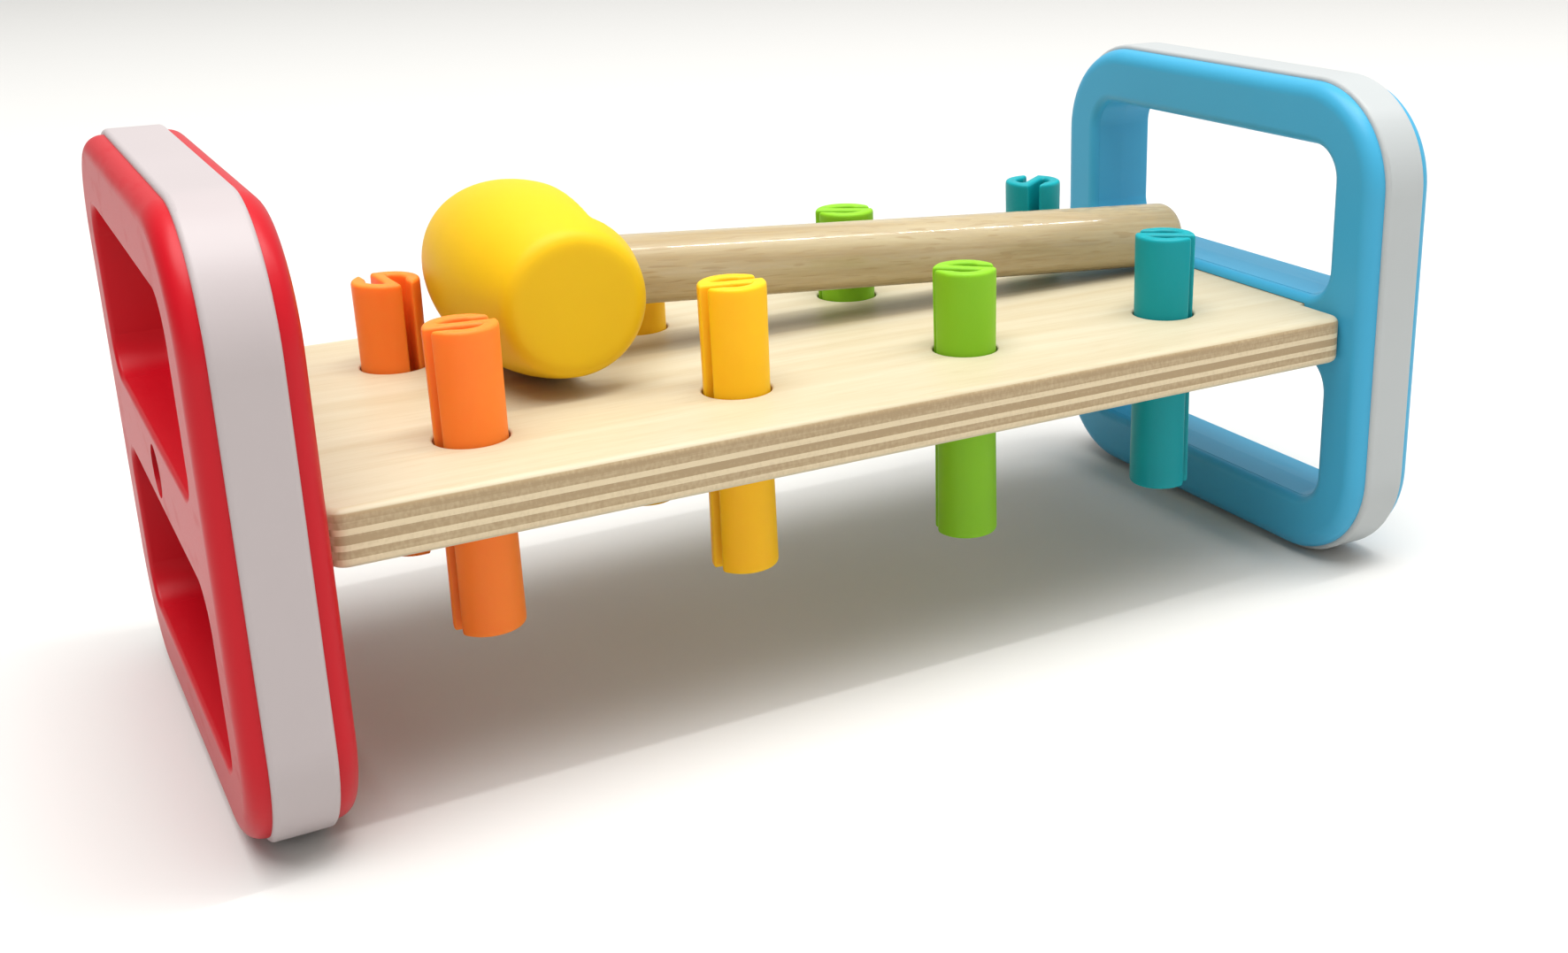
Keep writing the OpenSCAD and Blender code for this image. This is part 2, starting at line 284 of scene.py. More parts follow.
class FinishSettings(PropertyGroup):
    """Colours of the plank, the end frames, the screws and the mallet"""

    veneer: colour("Face veneer", "Pale wood of the plank's faces", 200, 190, 163)
    veneer_grain: colour("Veneer grain", "Darker streaks in the face veneer", 190, 175, 142)
    long_ply: colour("Long ply", "Plies cut along their fibres", 214, 196, 162)
    cross_ply: colour("Cross ply", "Plies cut across their fibres", 165, 142, 107)
    handle_light: colour("Handle wood", "Pale wood of the handle", 190, 175, 138)
    handle_dark: colour("Handle grain", "Darker streaks in the handle", 166, 144, 104)
    red: colour("Red shells", "Glossy plastic of the red frame", 186, 8, 26)
    blue: colour("Blue shells", "Glossy plastic of the blue frame", 64, 162, 200)
    # The red tinge of this rim colour is a painted reflection of the red shells; its milky grey is the
    # rim's own colour.
    red_rim: colour("Red frame's rim", "Milky plastic with a red tinge", 181, 171, 171)
    blue_rim: colour("Blue frame's rim", "Milky plastic with a cool tinge", 178, 182, 182)
    head: colour("Mallet head", "Soft plastic of the barrel head", 226, 185, 10)
    steel: colour("Screws", "Zinc plated steel", 196, 198, 202)


class StageSettings(PropertyGroup):
    """Camera, floor and lights"""

    camera_place: FloatVectorProperty(
        name="Camera place",
        description="Where the camera stands",
        default=(-0.1813941, -0.3772183, 0.1893648),
        subtype="TRANSLATION",
        unit="LENGTH",
    )
    yaw: angle("Yaw", "Turn of the view to the right of the Y axis", 31.567)
    pitch: angle("Pitch", "Slope of the view below the horizon", 18.517)
    roll: angle("Roll", "Tilt of the picture", 0.351)
    focal: FloatProperty(name="Focal length", description="In pixels of the picture", default=1980.07)
    centre: FloatVectorProperty(
        name="Optical centre",
        description="Pixel that the view is aimed at",
        default=(1097.43, 468.83),
        size=2,
    )
    floor_size: length("Floor", "Side of the square floor", 8.0)
    floor_colour: colour("Floor colour", "Pale floor", 212, 211, 208)
    world_strength: FloatProperty(name="Surroundings", description="Brightness all round", default=0.7)
    left_share: share("Left side", "Share of that brightness that is left on the left", 0.4)
    key_power: power("Key light", "Overhead soft box", 114.0)
    tube_power: power("Tube light", "Long tube above the right", 22.0)
    fill_power: power("Fill light", "Soft box at the front left", 1.0)


def plug(tree, socket, value):
    """Links a node's output to a socket, or sets the socket to a plain value."""
    if isinstance(value, NodeSocket):
        tree.links.new(value, socket)
    else:
        socket.default_value = value


def add_node(tree, kind, inputs=None, **settings):
    node = tree.nodes.new(kind)
    for name, value in settings.items():
        setattr(node, name, value)
    for name, value in (inputs or {}).items():
        plug(tree, node.inputs[name], value)
    return node


def calculate(tree, operation, *values, clamp=False):
    inputs = dict(enumerate(values))
    return add_node(tree, "ShaderNodeMath", inputs, operation=operation, use_clamp=clamp).outputs[0]


def blend(tree, factor, first, second, blend_type="MIX"):
    """Mixes two colours; plain colours are given as three linear values."""
    mix = add_node(tree, "ShaderNodeMix", {0: factor}, data_type="RGBA", blend_type=blend_type)
    # Inputs 6 and 7 and output 2 are the node's colour sockets
    for socket, value in ((mix.inputs[6], first), (mix.inputs[7], second)):
        plug(tree, socket, value if isinstance(value, NodeSocket) else (*value, 1.0))
    return mix.outputs[2]


def spread(tree, value, low, high, to_low=0.0, to_high=1.0):
    """Maps a value from one range to another, held at both ends."""
    inputs = {"Value": value, "From Min": low, "From Max": high, "To Min": to_low, "To Max": to_high}
    return add_node(tree, "ShaderNodeMapRange", inputs).outputs[0]


def noise(tree, vector, scale, detail=2.0, roughness=0.5):
    inputs = {"Vector": vector, "Scale": scale, "Detail": detail, "Roughness": roughness}
    return add_node(tree, "ShaderNodeTexNoise", inputs).outputs[0]


def stretch(tree, vector, *scale):
    return add_node(tree, "ShaderNodeVectorMath", {0: vector, 1: scale}, operation="MULTIPLY").outputs[0]


def new_group(name, inputs, outputs):
    """An empty node group and its input and output sockets."""
    group = bpy.data.node_groups.new(name, "ShaderNodeTree")
    for label, kind in inputs.items():
        group.interface.new_socket(label, in_out="INPUT", socket_type="NodeSocket" + kind)
    for label, kind in outputs.items():
        group.interface.new_socket(label, in_out="OUTPUT", socket_type="NodeSocket" + kind)
    given = group.nodes.new("NodeGroupInput").outputs
    result = group.nodes.new("NodeGroupOutput").inputs
    return group, given, result


def wood_fibre_group():
    """Wood with its fibres along X: slow figure, fine fibres and short dark flecks."""
    name = "wood_fibre"
    if name in bpy.data.node_groups:
        return bpy.data.node_groups[name]
    inputs = {
        "Vector": "Vector",
        "Light": "Color",
        "Dark": "Color",
        "Figure": "Float",
        "Flecks": "Float",
    }
    group, given, result = new_group(name, inputs, {"Color": "Color", "Height": "Float"})
    place = given["Vector"]
    drift = noise(group, stretch(group, place, *BEND_WAVES), 1.0, detail=1.0)
    sideways = calculate(group, "MULTIPLY", drift, FIGURE_SWAY)
    bend = add_node(group, "ShaderNodeCombineXYZ", {"Y": sideways}).outputs[0]
    curved = add_node(group, "ShaderNodeVectorMath", {0: place, 1: bend}, operation="ADD").outputs[0]
    figure = noise(group, stretch(group, curved, *FIGURE_WAVES), 1.0, detail=3.0, roughness=0.6)
    fibre = noise(group, stretch(group, curved, *FIBRE_WAVES), 1.0, detail=2.0, roughness=0.7)
    fleck = noise(group, stretch(group, curved, *FLECK_WAVES), 1.0, detail=0.0)
    broad = calculate(group, "MULTIPLY", spread(group, figure, 0.35, 0.68), given["Figure"])
    fine = calculate(group, "MULTIPLY", spread(group, fibre, 0.35, 0.7), 0.28)
    dashes = calculate(group, "MULTIPLY", spread(group, fleck, 0.66, 0.74), given["Flecks"])
    tone = calculate(group, "ADD", calculate(group, "ADD", broad, fine), dashes, clamp=True)
    plug(group, result["Color"], blend(group, tone, given["Light"], given["Dark"]))
    plug(group, result["Height"], calculate(group, "SUBTRACT", fibre, dashes))
    return group


def moulded_skin_group():
    """Moulded plastic: a slow drift of tone, a fine spark-eroded grain and faint rub marks."""
    name = "moulded_skin"
    if name in bpy.data.node_groups:
        return bpy.data.node_groups[name]
    inputs = {
        "Vector": "Vector",
        "Tint": "Color",
        "Drift": "Float",
        "Grain": "Float",
        "Roughness": "Float",
        "Rub": "Float",
    }
    outputs = {"Color": "Color", "Roughness": "Float", "Height": "Float"}
    group, given, result = new_group(name, inputs, outputs)
    place = given["Vector"]
    cloud = spread(group, noise(group, place, CLOUD_WAVES, detail=3.0), 0.3, 0.7)
    grain = noise(group, place, given["Grain"], detail=1.0, roughness=0.6)
    rub = spread(group, noise(group, stretch(group, place, *RUB_WAVES), 1.0, detail=2.0), 0.56, 0.72)
    shade = blend(group, 1.0, given["Tint"], (0.80, 0.80, 0.80), blend_type="MULTIPLY")
    shaded = calculate(group, "MULTIPLY", cloud, given["Drift"])
    plug(group, result["Color"], blend(group, shaded, given["Tint"], shade))
    scuffed = calculate(group, "MULTIPLY", rub, given["Rub"])
    worn = calculate(group, "ADD", given["Roughness"], scuffed)
    matt = calculate(group, "MULTIPLY", calculate(group, "SUBTRACT", grain, 0.5), 0.05)
    plug(group, result["Roughness"], calculate(group, "ADD", worn, matt, clamp=True))
    plug(group, result["Height"], grain)
    return group


def place_group(tree, group, inputs):
    node = tree.nodes.new("ShaderNodeGroup")
    node.node_tree = group
    for name, value in inputs.items():
        plug(tree, node.inputs[name], value)
    return node.outputs


def raise_surface(tree, shader, height, strength, distance):
    """Feeds a height to the shader's normal."""
    inputs = {"Height": height, "Strength": strength, "Distance": distance}
    bump = add_node(tree, "ShaderNodeBump", inputs)
    plug(tree, shader.inputs["Normal"], bump.outputs[0])


def new_material(name):
    """A node material, with its node tree, its shader and its coordinates."""
    material = bpy.data.materials.new(name)
    material.use_nodes = True
    tree = material.node_tree
    return material, tree, tree.nodes["Principled BSDF"], tree.nodes.new("ShaderNodeTexCoord").outputs


def plastic(name, tint, roughness, grain, relief, drift=0.25, rub=0.0, gloss=0.25, glow=0.0):
    """Moulded plastic of one colour, which lets a little light through by its glow."""
    material, tree, shader, place = new_material(name)
    inputs = {
        "Vector": place["Object"],
        "Tint": (*tint, 1.0),
        "Drift": drift,
        "Grain": grain,
        "Roughness": roughness,
        "Rub": rub,
    }
    skin = place_group(tree, moulded_skin_group(), inputs)
    plug(tree, shader.inputs["Base Color"], skin["Color"])
    plug(tree, shader.inputs["Roughness"], skin["Roughness"])
    shader.inputs["Specular IOR Level"].default_value = gloss
    shader.inputs["Subsurface Weight"].default_value = glow
    shader.inputs["Subsurface Radius"].default_value = [(1 + value) / 2 for value in tint]
    shader.inputs["Subsurface Scale"].default_value = GLOW_DEPTH
    raise_surface(tree, shader, skin["Height"], relief, GRAIN_DEPTH)
    return material


def ply_stack(tree, level):
    """How far the ply at each level, 0 at the bottom to 1 at the top, runs across the plank."""
    stack = add_node(tree, "ShaderNodeValToRGB", {0: level})
    stack.color_ramp.interpolation = "CONSTANT"
    stops = sorted((1 - end, across) for end, across in PLY_SHARES)
    elements = stack.color_ramp.elements
    elements[1].position = stops[1][0]
    for bottom, across in stops[2:]:
        elements.new(bottom)
    for element, (bottom, across) in zip(elements, stops):
        element.position = bottom
        element.color = (across, across, across, 1.0)
    return stack.outputs[0]


def plywood(finish):
    """Birch plywood: pale veneer on both faces, and plies that show on the edges and in the holes."""
    material, tree, shader, place = new_material("birch_plywood")
    low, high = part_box("plank")
    inputs = {
        "Vector": place["Object"],
        "Light": (*finish.veneer, 1.0),
        "Dark": (*finish.veneer_grain, 1.0),
        "Figure": 0.75,
        "Flecks": 0.25,
    }
    veneer = place_group(tree, wood_fibre_group(), inputs)
    at = add_node(tree, "ShaderNodeSeparateXYZ", {0: place["Object"]}).outputs
    facing = add_node(tree, "ShaderNodeSeparateXYZ", {0: place["Normal"]}).outputs
    wave = noise(tree, stretch(tree, place["Object"], *PLY_WAVES), 1.0, detail=2.0)
    shift = calculate(tree, "MULTIPLY", calculate(tree, "SUBTRACT", wave, 0.5), PLY_SWAY)
    height = calculate(tree, "ADD", at["Z"], shift)
    across = ply_stack(tree, spread(tree, height, low[2], high[2]))
    end_face = spread(tree, calculate(tree, "ABSOLUTE", facing["X"]), 0.55, 0.85)
    swapped = calculate(tree, "ABSOLUTE", calculate(tree, "SUBTRACT", across, end_face))
    streaks = noise(tree, stretch(tree, place["Object"], *STREAK_WAVES), 1.0, detail=2.0)
    pores = noise(tree, stretch(tree, place["Object"], *PORE_WAVES), 1.0, detail=1.0)
    mottle = calculate(tree, "ADD", streaks, pores)
    grainy = spread(tree, mottle, 0.6, 1.4, -0.22, 0.22)
    brown = calculate(tree, "ADD", swapped, grainy, clamp=True)
    edge = blend(tree, brown, finish.long_ply, finish.cross_ply)
    flat = spread(tree, calculate(tree, "ABSOLUTE", facing["Z"]), 0.45, 0.6)
    plug(tree, shader.inputs["Base Color"], blend(tree, flat, edge, veneer["Color"]))
    shader.inputs["Roughness"].default_value = 0.46
    shader.inputs["Specular IOR Level"].default_value = 0.4
    raise_surface(tree, shader, veneer["Height"], 0.12, GRAIN_DEPTH)
    return material


def varnished_wood(finish, tilt):
    """Turned hardwood with its grain along the handle, under clear varnish."""
    material, tree, shader, place = new_material("varnished_handle_wood")
    inputs = {"Vector": place["Object"], "Rotation": (0.0, -tilt, 0.0)}
    along = add_node(tree, "ShaderNodeMapping", inputs, vector_type="POINT").outputs[0]
    inputs = {
        "Vector": along,
        "Light": (*finish.handle_light, 1.0),
        "Dark": (*finish.handle_dark, 1.0),
        "Figure": 0.9,
        "Flecks": 0.5,
    }
    wood = place_group(tree, wood_fibre_group(), inputs)
    plug(tree, shader.inputs["Base Color"], wood["Color"])
    shader.inputs["Roughness"].default_value = 0.42
    varnish = noise(tree, stretch(tree, along, *VARNISH_WAVES), 1.0, detail=2.0)
    plug(tree, shader.inputs["Coat Weight"], spread(tree, varnish, 0.35, 0.6, 0.15, 1.0))
    shader.inputs["Coat Roughness"].default_value = 0.1
    raise_surface(tree, shader, wood["Height"], 0.18, TURNED_GRAIN_DEPTH)
    return material


def zinc(finish):
    """Zinc plated steel with fine turning marks."""
    material, tree, shader, place = new_material("zinc_plated_steel")
    marks = noise(tree, stretch(tree, place["Object"], *TURNING_WAVES), 1.0, detail=2.0)
    dull = [0.7 * value for value in finish.steel]
    plug(tree, shader.inputs["Base Color"], blend(tree, marks, finish.steel, dull))
    plug(tree, shader.inputs["Roughness"], spread(tree, marks, 0.3, 0.7, 0.25, 0.42))
    shader.inputs["Metallic"].default_value = 1.0
    return material


def dress(node, material):
    """Gives a built piece its finish."""
    piece = frame["nodes"][node]
    piece.data.materials.clear()
    piece.data.materials.append(material)


def deselect():
    if bpy.context.object and bpy.context.object.mode != "OBJECT":
        bpy.ops.object.mode_set(mode="OBJECT")
    bpy.ops.object.select_all(action="DESELECT")


def activate(piece):
    deselect()
    piece.select_set(True)
    bpy.context.view_layer.objects.active = piece


def apply_place(piece):
    activate(piece)
    bpy.ops.object.transform_apply(location=True, rotation=True, scale=True)


def select(piece, kind, wanted):
    """Selects the edges or the faces of the edited mesh that a test picks."""
    bpy.ops.mesh.select_mode(type=kind)
    bpy.ops.mesh.select_all(action="DESELECT")
    mesh = bmesh.from_edit_mesh(piece.data)
    for item in mesh.edges if kind == "EDGE" else mesh.faces:
        if wanted(item):
            item.select_set(True)
    bmesh.update_edit_mesh(piece.data)


def extrude(*way):
    bpy.ops.mesh.extrude_region_move(TRANSFORM_OT_translate={"value": way})


def near(first, second):
    return abs(first - second) < SAME_POINT


def apply_modifiers(piece):
    activate(piece)
    for modifier in list(piece.modifiers):
        bpy.ops.object.modifier_apply(modifier=modifier.name)


def model_peg(settings, height):
    """One peg about the origin: a flat S of quads, drawn up, with round lips and ends."""
    outer = settings.diameter / 2
    inner = outer - settings.wall
    half_web = settings.web / 2
    tip_x = sqrt(inner ** 2 - half_web ** 2)
    side_x = sqrt(outer ** 2 - half_web ** 2)
    lip_y = -half_web - settings.mouth * (inner - half_web)
    deselect()
    bpy.ops.mesh.primitive_plane_add(size=1, location=(tip_x / 2, 0, -height / 2))
    peg = bpy.context.active_object
    peg.scale = (tip_x, settings.web, 1)
    apply_place(peg)

    # Half of the middle wall, out to the peg's outer face
    bpy.ops.object.mode_set(mode="EDIT")
    select(peg, "EDGE", lambda edge: all(near(vert.co.x, tip_x) for vert in edge.verts))
    extrude(side_x - tip_x, 0, 0)

    # One outer wall, swept round from there and cut off straight at its mouth
    def on_wall_root(vert):
        return near(vert.co.y, -half_web) and vert.co.x > tip_x - 0.1 * MM

    select(peg, "EDGE", lambda edge: all(on_wall_root(vert) for vert in edge.verts))
    centre = (0, 0, -height / 2)
    bpy.ops.mesh.spin(steps=settings.sweep_steps, angle=settings.sweep, center=centre, axis=(0, 0, 1))
    select(peg, "FACE", lambda face: face.calc_center_median().x < 0)
    bpy.ops.mesh.bisect(
        plane_co=(0, lip_y, 0), plane_no=(0, 1, 0), clear_outer=True, threshold=0.001 * MM
    )

    # The other half, by a half turn
    bpy.ops.mesh.select_mode(type="FACE")
    bpy.ops.mesh.select_all(action="SELECT")
    bpy.ops.mesh.duplicate()
    bpy.ops.transform.rotate(value=pi, orient_axis="Z", center_override=centre)
    bpy.ops.mesh.select_all(action="SELECT")
    bpy.ops.mesh.remove_doubles(threshold=SAME_POINT)

    # Drawn up in bands, with a ring of edges at mid height
    long_band = height / 2 - settings.end_band
    for band in (settings.end_band, long_band, long_band, settings.end_band):
        extrude(0, 0, band)
    bpy.ops.mesh.select_all(action="SELECT")
    bpy.ops.mesh.normals_make_consistent(inside=False)

    # Round lips, then round ends
    corners = [
        (side_x, half_web),
        (-sqrt(outer ** 2 - lip_y ** 2), lip_y),
        (-sqrt(inner ** 2 - lip_y ** 2), lip_y),
    ]
    corners += [(-x, -y) for x, y in corners]

    def on_corner(edge):
        return any(all(near(v.co.x, x) and near(v.co.y, y) for v in edge.verts) for x, y in corners)

    def on_end(edge):
        level = all(near(abs(vert.co.z), height / 2) for vert in edge.verts)
        return level and edge.calc_face_angle(0) > 1

    select(peg, "EDGE", on_corner)
    bpy.ops.mesh.bevel(offset=settings.lip_round, segments=2, affect="EDGES", clamp_overlap=False)
    select(peg, "EDGE", on_end)
    bpy.ops.mesh.bevel(offset=settings.end_round, segments=3, affect="EDGES", clamp_overlap=False)
    bpy.ops.object.mode_set(mode="OBJECT")

    # Both ends splay a little, as the walls spring open
    for limits, factor in (((0.5, 1.0), settings.splay), ((0.0, 0.5), -settings.splay)):
        taper = peg.modifiers.new("splay", "SIMPLE_DEFORM")
        taper.deform_method = "TAPER"
        taper.deform_axis = "Z"
        taper.limits = limits
        taper.factor = factor
    rounding = peg.modifiers.new("soft_edges", "SUBSURF")
    rounding.levels = rounding.render_levels = settings.smooth_levels
    apply_modifiers(peg)
    bpy.ops.object.shade_smooth()
    return peg


def turned(stations, sides):
    """A round piece along Z, from its height and radius at each station."""
    (height, radius), *later = stations
    deselect()
    place = (0, 0, height)
    bpy.ops.mesh.primitive_circle_add(vertices=sides, radius=radius, fill_type="NGON", location=place)
    piece = bpy.context.active_object
    apply_place(piece)
    bpy.ops.object.mode_set(mode="EDIT")
    bpy.ops.mesh.select_mode(type="FACE")
    bpy.ops.mesh.select_all(action="SELECT")
    for next_height, next_radius in later:
        extrude(0, 0, next_height - height)
        growth = next_radius / radius
        bpy.ops.transform.resize(value=(growth, growth, 1), center_override=(0, 0, next_height))
        height, radius = next_height, next_radius
    bpy.ops.mesh.select_all(action="SELECT")
    bpy.ops.mesh.normals_make_consistent(inside=False)
    bpy.ops.object.mode_set(mode="OBJECT")
    return piece


def carve(piece, cutter):
    """Takes the cutter out of a piece."""
    apply_place(cutter)
    cut = piece.modifiers.new("cut", "BOOLEAN")
    cut.operation = "DIFFERENCE"
    cut.object = cutter
    apply_modifiers(piece)
    bpy.data.objects.remove(cutter)


def carve_box(piece, size, place, turn=0.0):
    deselect()
    bpy.ops.mesh.primitive_cube_add(size=1, location=place, rotation=(0, 0, turn))
    cutter = bpy.context.active_object
    cutter.scale = size
    carve(piece, cutter)


def model_head(settings):
    """The mallet's barrel about the origin, along Y, with a seat and a socket on its +X side."""
    radius, half = settings.diameter / 2, settings.barrel_length / 2
    bow = (settings.taper ** 2 + half ** 2) / (2 * settings.taper)
    edge = settings.edge_round
    edge_y = half - edge
    edge_x = radius - bow + sqrt((bow - edge) ** 2 - edge_y ** 2)
    last = asin(edge_y / (bow - edge))
    profile = []
    for step in range(settings.steps + 1):
        turn = step / settings.steps * last
        profile.append((bow * sin(turn), radius - bow + bow * cos(turn)))
    for step in range(1, settings.edge_steps + 1):
        turn = last + step / settings.edge_steps * (pi / 2 - last)
        profile.append((edge_y + edge * sin(turn), edge_x + edge * cos(turn)))
    head = turned([(-y, r) for y, r in reversed(profile[1:])] + profile, settings.sides)
    head.rotation_euler.x = pi / 2
    apply_place(head)
    seat_width = settings.barrel_length - 2 * settings.seat_rim
    seat = (2 * settings.seat_depth, seat_width, 2 * settings.diameter)
    carve_box(head, seat, (radius, 0, 0))
    deselect()
    reach = settings.socket_past + settings.diameter
    bpy.ops.mesh.primitive_cylinder_add(
        vertices=settings.sides // 2,
        radius=settings.socket / 2,
        depth=reach,
        location=(reach / 2 - settings.socket_past, 0, 0),
        rotation=(0, pi / 2, 0),
    )
    carve(head, bpy.context.active_object)

    # An even grid of faces, smoothed until the edges are soft
    even = head.modifiers.new("even_grid", "REMESH")
    even.mode = "VOXEL"
    even.voxel_size = settings.grid
    soften = head.modifiers.new("soft_edges", "SMOOTH")
    soften.factor = 0.5
    soften.iterations = settings.passes
    apply_modifiers(head)
    bpy.ops.object.shade_smooth()
    return head


def model_screw(settings, width, total):
    """One wood screw along Z, from its tip at the origin up to its domed head with cross slots."""
    seat = total - settings.head_height
    rise = (1 - settings.straight) * settings.head_height
    flat = settings.flat * width / 2
    stations = [(0, settings.tip / 2), (settings.point, settings.shank / 2)]
    stations += [(seat, settings.shank / 2), (seat, width / 2)]
    for step in range(settings.dome_steps + 1):
        turn = step / settings.dome_steps * pi / 2
        stations.append((total - rise + rise * sin(turn), flat + (width / 2 - flat) * cos(turn)))
    screw = turned(stations, settings.sides)

    # Cross slots, then soft edges
    slot = (settings.slot_length, settings.slot_width, 2 * settings.slot_depth)
    for turn in (0, pi / 2):
        carve_box(screw, slot, (0, 0, total), turn)
    soften = screw.modifiers.new("soft_edges", "BEVEL")
    soften.width = settings.soft_edge
    soften.segments = 2
    soften.limit_method = "ANGLE"
    soften.angle_limit = SOFTENED_BEND
    apply_modifiers(screw)
    bpy.ops.object.shade_smooth_by_angle(angle=SHARP_BEND)
    return screw


def copy_of(master):
    piece = master.copy()
    piece.data = master.data.copy()
    bpy.context.collection.objects.link(piece)
    return piece


def install(piece, name, node, skin, place, turn):
    """Puts a modelled piece in place of one built piece."""
    piece.name = name
    piece.location = place
    piece.rotation_euler = turn
    apply_place(piece)
    piece.data.materials.append(skin)
    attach(piece, frame["nodes"][node]["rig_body"])
    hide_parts(node)


class BENCH_OT_dress_plank(Operator):
    """Gives the plank its plywood"""

    bl_idname = "pounding_bench.dress_plank"
    bl_label = "Dress Plank"

    def execute(self, context):
        dress("plank", plywood(context.scene.bench_finish))
        return {"FINISHED"}


class BENCH_OT_dress_end_frames(Operator):
    """Gives both end frames their glossy shells and milky rims"""

    bl_idname = "pounding_bench.dress_end_frames"
    bl_label = "Dress End Frames"

    def execute(self, context):
        finish = context.scene.bench_finish
        for side in ("red", "blue"):
            tint, rim_tint = getattr(finish, side), getattr(finish, side + "_rim")
            # On the red side the rim's tint holds a painted reflection of the red shells, over the milky
            # grey of the rim itself.
            rim = plastic(side + "_milky_rim", rim_tint, **RIM_SKIN)
            shell = plastic(side + "_shell", tint, **SHELL_SKIN)
            dress(side + "_outer_shell", shell)
            dress(side + "_inner_shell", shell)
            dress(side + "_rim", rim)
        return {"FINISHED"}


class BENCH_OT_add_screws(Operator):
    """Models one pan head screw and puts a copy of it in each end frame"""

    bl_idname = "pounding_bench.add_screws"
    bl_label = "Add Screws"

    def execute(self, context):
        low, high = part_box("blue_screw")
        master = model_screw(context.scene.bench_screws, high[1] - low[1], high[0] - low[0])
        steel = zinc(context.scene.bench_finish)
        for side, way in (("red", -1), ("blue", 1)):
            low, high = (Vector(corner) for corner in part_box(side + "_screw"))
            place = (low + high) / 2
            place.x = low.x if way > 0 else high.x
            name = side + "_pan_head_screw"
            install(copy_of(master), name, side + "_screw", steel, place, (0, way * pi / 2, 0))
        bpy.data.objects.remove(master)
        return {"FINISHED"}


class BENCH_OT_add_pegs(Operator):
    """Models one springy peg and puts a copy of it in each hole"""

    bl_idname = "pounding_bench.add_pegs"
    bl_label = "Add Pegs"

    def execute(self, context):
        settings = context.scene.bench_pegs
        low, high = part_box(PEGS[0][0])
        master = model_peg(settings, high[2] - low[2])
        skins = {
            tone: plastic(tone + "_peg", getattr(settings, tone), **PEG_SKIN)
            for tone in ("orange", "yellow", "green", "teal")
        }
        for node, turn, tip in PEGS:
            tone, part, row = node.split("_")
            low, high = (Vector(corner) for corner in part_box(node))
            name = "_".join((tone, row, part))
            turns = (radians(tip), 0, radians(turn))
            install(copy_of(master), name, node, skins[tone], (low + high) / 2, turns)
        bpy.data.objects.remove(master)
        return {"FINISHED"}


class BENCH_OT_add_mallet(Operator):
    """Models the mallet's barrel head and gives its handle a varnished finish"""

    bl_idname = "pounding_bench.add_mallet"
    bl_label = "Add Mallet"

    def execute(self, context):
        settings, finish = context.scene.bench_mallet, context.scene.bench_finish
        low, high = (Vector(corner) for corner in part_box("mallet_head"))
        radius = settings.diameter / 2
        place = (low.x + radius, (low.y + high.y) / 2, low.z + radius)
        skin = plastic("soft_yellow_head", finish.head, **HEAD_SKIN)
        install(model_head(settings), "barrel_head", "mallet_head", skin, place, (0, settings.tilt, 0))
        dress("mallet_handle", varnished_wood(finish, settings.tilt))
        return {"FINISHED"}


def add_floor(stage):
    deselect()
    ground = CAD_BOX[0][2] - FLOOR_GAP
    bpy.ops.mesh.primitive_plane_add(size=stage.floor_size, location=(0, 0, ground))
    floor = bpy.context.active_object
    floor.name = "floor"
    apply_place(floor)
    material, tree, shader, place = new_material("pale_floor")
    shader.inputs["Base Color"].default_value = (*stage.floor_colour, 1.0)
    shader.inputs["Roughness"].default_value = 0.7
    floor.data.materials.append(material)


def add_sky(stage):
    """Even surroundings that dim towards the left."""
    world = bpy.data.worlds.new("studio")
    world.use_nodes = True
    sky = world.node_tree
    way = add_node(sky, "ShaderNodeTexCoord").outputs["Generated"]
    rightwards = add_node(sky, "ShaderNodeSeparateXYZ", {0: way}).outputs["X"]
    dim = stage.left_share * stage.world_strength
    strength = spread(sky, rightwards, *SKY_TURN, dim, stage.world_strength)
    plug(sky, sky.nodes["Background"].inputs["Color"], SKY_COLOUR)
    plug(sky, sky.nodes["Background"].inputs["Strength"], strength)
    bpy.context.scene.world = world


def add_light(name, watts, width, height, place, target):
    bpy.ops.object.light_add(type="AREA", location=place)
    lamp = bpy.context.active_object
    lamp.name = name
    lamp.data.energy = watts
    lamp.data.shape = "RECTANGLE"
    lamp.data.size = width
    lamp.data.size_y = height
    lamp.rotation_euler = (Vector(target) - Vector(place)).to_track_quat("-Z", "Y").to_euler()


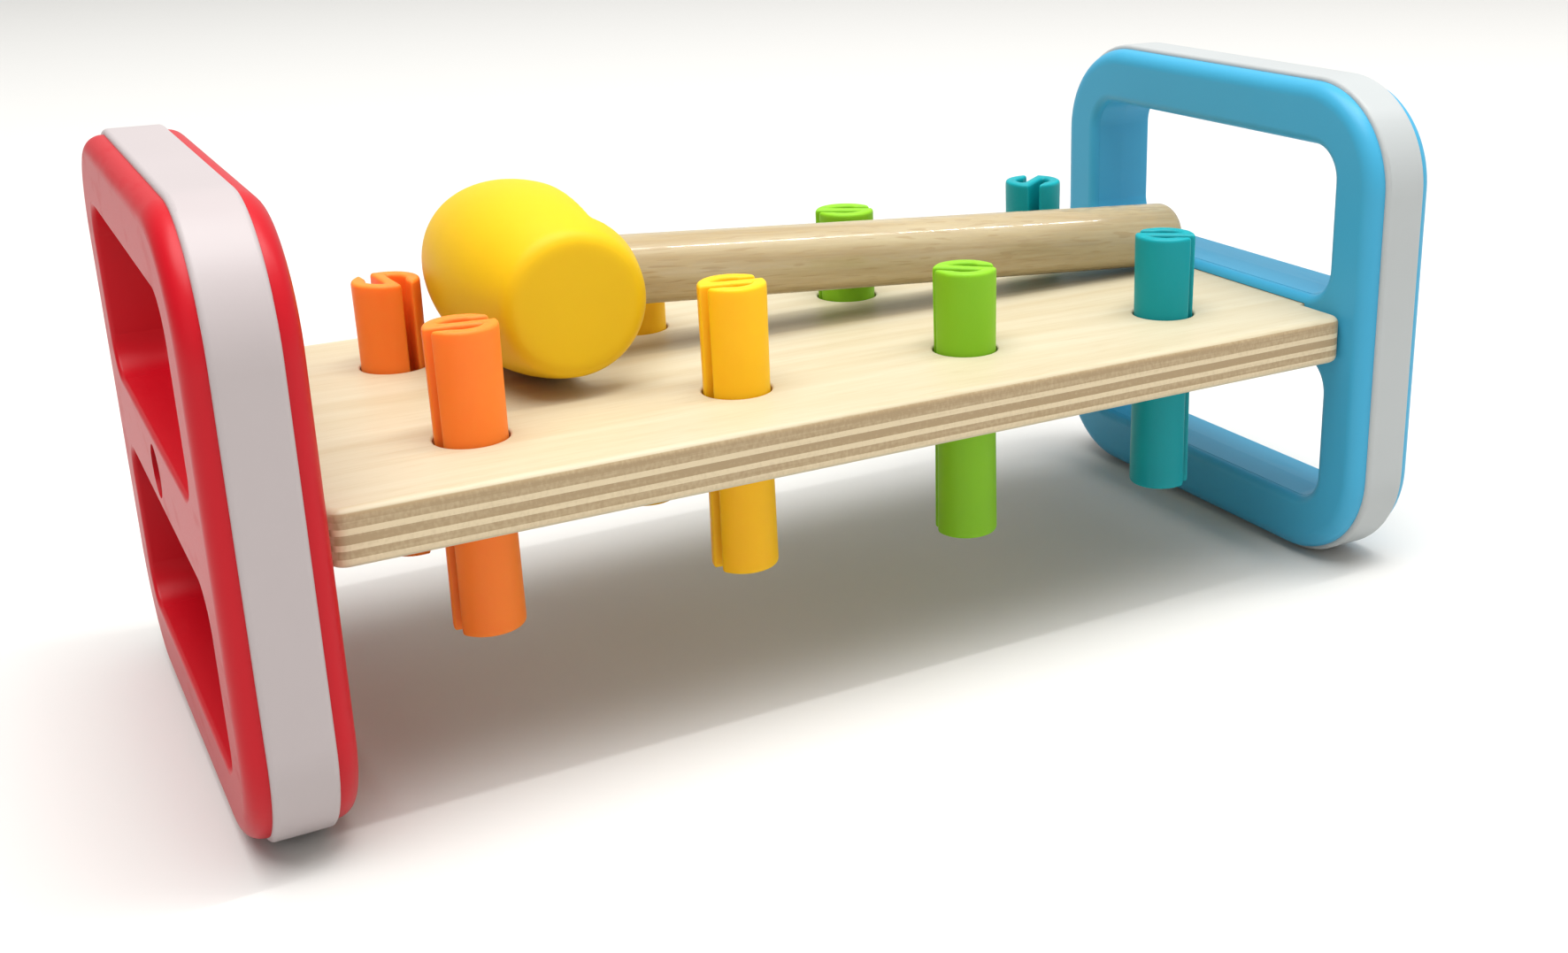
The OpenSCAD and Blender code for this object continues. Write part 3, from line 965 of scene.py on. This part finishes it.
def add_camera(stage):
    """A camera that sees the bench from the photo's angle."""
    lens = bpy.data.cameras.new("camera")
    camera = bpy.data.objects.new("camera", lens)
    bpy.context.collection.objects.link(camera)
    yaw, pitch, roll = stage.yaw, stage.pitch, stage.roll
    forward = Vector((sin(yaw) * cos(pitch), cos(yaw) * cos(pitch), -sin(pitch)))
    level = Vector((cos(yaw), -sin(yaw), 0))
    up = level.cross(forward)
    right = level * cos(roll) - up * sin(roll)
    top = level * sin(roll) + up * cos(roll)
    aim = Matrix((right, top, -forward)).transposed().to_4x4()
    camera.matrix_world = Matrix.Translation(stage.camera_place) @ aim
    width, height = PICTURE
    lens.sensor_width = SENSOR
    lens.lens = stage.focal / width * SENSOR
    lens.shift_x = (width / 2 - stage.centre[0]) / width
    lens.shift_y = (stage.centre[1] - height / 2) / width
    lens.clip_start = NEAREST_SEEN
    bpy.context.scene.camera = camera


class BENCH_OT_add_stage(Operator):
    """Adds the pale floor, the surroundings, the soft lights and the camera"""

    bl_idname = "pounding_bench.add_stage"
    bl_label = "Add Stage"

    def execute(self, context):
        stage = context.scene.bench_stage
        add_floor(stage)
        add_sky(stage)
        for name, setting, width, height, place, target in LIGHTS:
            add_light(name, getattr(stage, setting), width, height, place, target)
        add_camera(stage)
        context.scene.view_settings.view_transform = "Standard"
        return {"FINISHED"}


SETTINGS = {
    "bench_pegs": PegSettings,
    "bench_screws": ScrewSettings,
    "bench_mallet": MalletSettings,
    "bench_finish": FinishSettings,
    "bench_stage": StageSettings,
}
STEPS = (
    BENCH_OT_dress_plank,
    BENCH_OT_dress_end_frames,
    BENCH_OT_add_screws,
    BENCH_OT_add_pegs,
    BENCH_OT_add_mallet,
    BENCH_OT_add_stage,
)


class BENCH_PT_sidebar(Panel):
    """Lists the steps and settings of the pounding bench"""

    bl_idname = "BENCH_PT_sidebar"
    bl_label = "Pounding Bench"
    bl_space_type = "VIEW_3D"
    bl_region_type = "UI"
    bl_category = "Pounding Bench"

    def draw(self, context):
        for step in STEPS:
            self.layout.operator(step.bl_idname)
        for name, kind in SETTINGS.items():
            box = self.layout.box()
            for setting in kind.__annotations__:
                box.prop(getattr(context.scene, name), setting)


CLASSES = (*SETTINGS.values(), *STEPS, BENCH_PT_sidebar)


def register():
    for item in CLASSES:
        bpy.utils.register_class(item)
    for name, kind in SETTINGS.items():
        setattr(bpy.types.Scene, name, PointerProperty(type=kind))


def unregister():
    for name in SETTINGS:
        delattr(bpy.types.Scene, name)
    for item in reversed(CLASSES):
        bpy.utils.unregister_class(item)


def main():
    register()
    bpy.ops.pounding_bench.dress_plank()
    bpy.ops.pounding_bench.dress_end_frames()
    bpy.ops.pounding_bench.add_screws()
    bpy.ops.pounding_bench.add_pegs()
    bpy.ops.pounding_bench.add_mallet()
    bpy.ops.pounding_bench.add_stage()


if __name__ == "__main__":
    main()
